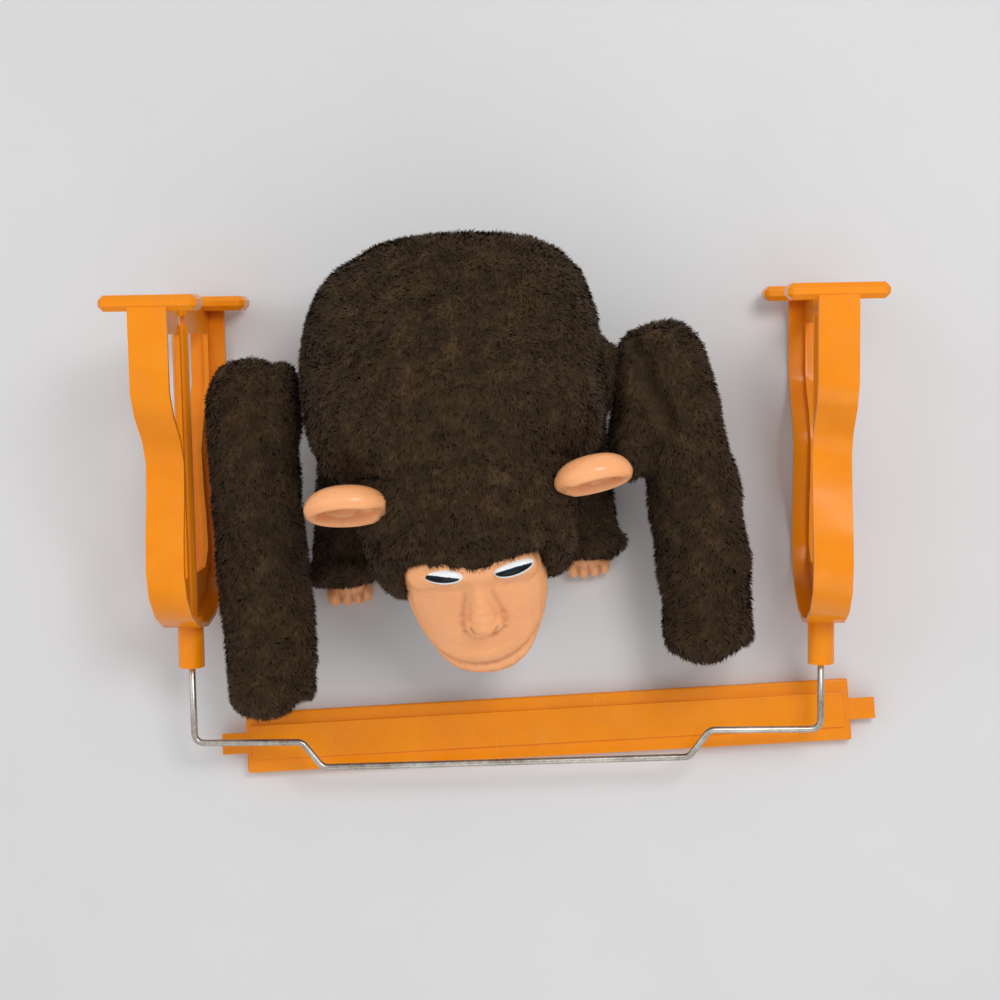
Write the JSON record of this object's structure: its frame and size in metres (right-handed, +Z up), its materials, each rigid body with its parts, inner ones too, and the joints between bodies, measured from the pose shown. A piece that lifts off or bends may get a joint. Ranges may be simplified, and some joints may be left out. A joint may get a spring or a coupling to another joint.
{
  "type": "toy acrobat ape with bar frame",
  "caption": "Plush ape toy with battery-driven swinging arms, lying face down inside its acrobat frame of side stands, bent wire bar and spreader beam.",
  "frame": {"origin": "middle of the underside of the whole set's bounding box", "axes": "+X across the set from the toy's own right-hand stand to its left-hand stand, +Y from the wire bar towards the stands' soles, +Z up"},
  "size_m": [0.4636, 0.3318, 0.1755],
  "materials": {
    "frame_plastic": "glossy moulded",
    "wire_steel": "drawn, slightly dull",
    "fur": "short dense pile",
    "vinyl": "soft moulded vinyl with a low sheen",
    "eye": "glossy",
    "casing_plastic": "matt moulded",
    "gear_plastic": "satin",
    "bright_steel": "ground",
    "cell_jacket": "printed jacket, plain",
    "contact_brass": "plain"
  },
  "bodies": {
    "torso": {"torso_plush": "fur", "casing_back": "casing_plastic", "casing_front": "casing_plastic", "battery_tray": "casing_plastic", "battery_upper": "cell_jacket", "battery_lower": "cell_jacket", "contact_bridge": "contact_brass", "contact_upper": "contact_brass", "contact_lower": "contact_brass", "switch_housing": "casing_plastic", "motor": "bright_steel", "gearbox_plate_inner": "bright_steel", "gearbox_plate_outer": "bright_steel", "gearbox_bolt_1": "bright_steel", "gearbox_bolt_2": "bright_steel", "gearbox_bolt_3": "bright_steel", "idler_pin": "bright_steel", "neck_post": "casing_plastic", "head_shell": "casing_plastic", "head_plush": "fur", "face_mask": "vinyl", "eye_left": "eye", "eye_right": "eye", "ear_left": "vinyl", "ear_right": "vinyl"},
    "battery_door": {"battery_door": "casing_plastic"},
    "switch_slider": {"switch_slider": "gear_plastic"},
    "motor_pinion": {"motor_pinion": "gear_plastic"},
    "idler_wheel": {"idler_wheel": "gear_plastic"},
    "arms": {"shoulder_shaft": "bright_steel", "output_wheel": "gear_plastic", "arm_left_core": "casing_plastic", "arm_left_plush": "fur", "hand_left": "vinyl", "arm_right_core": "casing_plastic", "arm_right_plush": "fur", "hand_right": "vinyl"},
    "legs": {"hip_axle": "bright_steel", "leg_left_plush": "fur", "foot_left": "vinyl", "leg_right_plush": "fur", "foot_right": "vinyl"},
    "wire_bar": {"wire_bar": "wire_steel"},
    "stand_left": {"stand_left": "frame_plastic"},
    "stand_right": {"stand_right": "frame_plastic"},
    "spreader_beam": {"spreader_beam": "frame_plastic"}
  },
  "joints": [
    {"name": "shoulder_swing", "type": "hinge", "parent": "torso", "child": "arms", "pos_m": [-0.031, 0.06805, 0.092], "axis": [-0.9954, -0.0958, 0], "range_deg": [0, 80]},
    {"name": "idler_spin", "type": "hinge", "parent": "torso", "child": "idler_wheel", "pos_m": [-0.03278, 0.08652, 0.11056], "axis": [-0.9954, -0.0958, 0], "range_deg": [-232, 0]},
    {"name": "pinion_spin", "type": "hinge", "parent": "torso", "child": "motor_pinion", "pos_m": [-0.03502, 0.1098, 0.10516], "axis": [-0.9954, -0.0958, 0], "range_deg": [0, 695]},
    {"name": "hip_swing", "type": "hinge", "parent": "torso", "child": "legs", "pos_m": [-0.0356, 0.11583, 0.029], "axis": [0.9954, 0.0958, 0], "range_deg": [0, 24]},
    {"name": "battery_door_hinge", "type": "hinge", "parent": "torso", "child": "battery_door", "pos_m": [-0.03458, 0.10528, 0.035], "axis": [0.9954, 0.0958, 0], "range_deg": [0, 25]},
    {"name": "switch_travel", "type": "slide", "parent": "torso", "child": "switch_slider", "axis": [-0.0882, 0.9163, -0.3907], "range_m": [0, 0.005]},
    {"name": "frame_lift", "type": "slide", "parent": "torso", "child": "wire_bar", "axis": [0, 0, 1], "range_m": [0, 0.2]},
    {"name": "stand_left_swivel", "type": "hinge", "parent": "wire_bar", "child": "stand_left", "pos_m": [-0.20278, 0.13425, 0.08904], "axis": [0, 0.9833, 0.1821], "range_deg": [0, 20]},
    {"name": "stand_right_swivel", "type": "hinge", "parent": "wire_bar", "child": "stand_right", "pos_m": [0.19322, 0.13425, 0.08904], "axis": [0, -0.9833, -0.1821], "range_deg": [0, 20]},
    {"name": "beam_pull", "type": "slide", "parent": "torso", "child": "spreader_beam", "axis": [0, -1, 0], "range_m": [0, 0.12]}
  ],
  "couplings": [
    {"joint": "idler_spin", "follows": "shoulder_swing", "ratio": -2.8889},
    {"joint": "pinion_spin", "follows": "shoulder_swing", "ratio": 8.6667}
  ]
}
